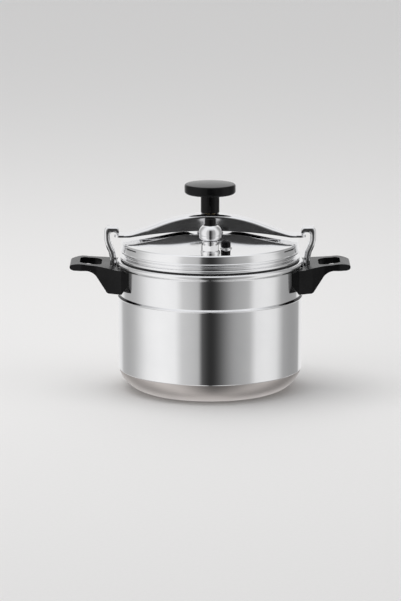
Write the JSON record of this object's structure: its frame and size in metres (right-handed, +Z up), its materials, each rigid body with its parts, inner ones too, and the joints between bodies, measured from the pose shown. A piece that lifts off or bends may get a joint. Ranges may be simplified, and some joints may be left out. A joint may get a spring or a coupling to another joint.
{
  "type": "stovetop pressure cooker",
  "caption": "Aluminium stovetop pressure cooker: outside lid held down by a screw knob and an arched beam under forged hooks, with loop side handles, steam weight and safety valve.",
  "frame": {"origin": "centre of the flat base, on the pot's axis", "axes": "+Z up; +X along the clamp beam and the two side handles; the steam weight is at -Y"},
  "size_m": [0.366, 0.2438, 0.2703],
  "materials": {
    "pot_aluminium": "satin spun wall, matte base",
    "lid_aluminium": "polished",
    "bakelite": "moulded black phenolic, soft gloss",
    "steel": "satin",
    "hook_metal": "polished",
    "rivet": "satin",
    "gasket_rubber": "matte",
    "chrome": "polished",
    "valve_plastic": "moulded black, soft gloss",
    "spring_steel": "bright drawn",
    "beam_chrome": "polished",
    "brass": "machined"
  },
  "bodies": {
    "pot": {"pot_body": "pot_aluminium", "handle_right": "bakelite", "handle_left": "bakelite", "handle_bracket_right": "steel", "handle_bracket_left": "steel", "hook_right": "hook_metal", "hook_left": "hook_metal", "hook_rivets_right": "rivet", "hook_rivets_left": "rivet", "bracket_rivets_right": "rivet", "bracket_rivets_left": "rivet", "handle_screw_right": "steel", "handle_screw_left": "steel", "handle_washer_right": "steel", "handle_washer_left": "steel"},
    "lid": {"lid_shell": "lid_aluminium", "lid_gasket": "gasket_rubber", "lid_seat": "steel", "lid_seat_rivets": "rivet", "lid_seat_cap": "steel", "vent_base": "chrome", "vent_pipe": "chrome", "vent_gasket": "gasket_rubber", "vent_nut": "steel", "vent_filter": "steel", "relief_seat": "chrome", "relief_gasket": "gasket_rubber", "relief_nut": "steel"},
    "regulator": {"regulator_bowl": "chrome", "regulator_bell": "chrome", "regulator_cap": "valve_plastic", "regulator_needle": "steel"},
    "relief_valve": {"relief_stem": "steel", "relief_cap": "valve_plastic", "relief_spring": "spring_steel"},
    "knob": {"knob": "bakelite", "knob_insert": "brass", "clamp_screw": "steel", "screw_foot": "brass"},
    "bush": {"beam_bush": "brass", "bush_clip": "spring_steel"},
    "beam": {"beam": "beam_chrome"}
  },
  "joints": [
    {"name": "lid_lift", "type": "slide", "parent": "pot", "child": "lid", "axis": [0, 0, 1], "range_m": [0, 0.14]},
    {"name": "knob_turn", "type": "hinge", "parent": "lid", "child": "knob", "pos_m": [0, 0, 0.2], "axis": [0, 0, 1], "range_deg": [0, 362]},
    {"name": "bush_travel", "type": "slide", "parent": "lid", "child": "bush", "axis": [0, 0, 1], "range_m": [-0.002, 0]},
    {"name": "beam_swivel", "type": "hinge", "parent": "bush", "child": "beam", "pos_m": [0, 0, 0.2], "axis": [0, 0, 1], "range_deg": [-45, 45]},
    {"name": "regulator_lift", "type": "slide", "parent": "lid", "child": "regulator", "axis": [0, 0, 1], "range_m": [0, 0.035]},
    {"name": "relief_lift", "type": "slide", "parent": "lid", "child": "relief_valve", "axis": [0, 0, 1], "range_m": [0, 0.003], "stiffness_N_per_m": 400, "springref_m": -0.004, "deforming": ["relief_spring"]}
  ],
  "couplings": [
    {"joint": "knob_turn", "follows": "bush_travel", "rad_per_m": -3141.6}
  ]
}
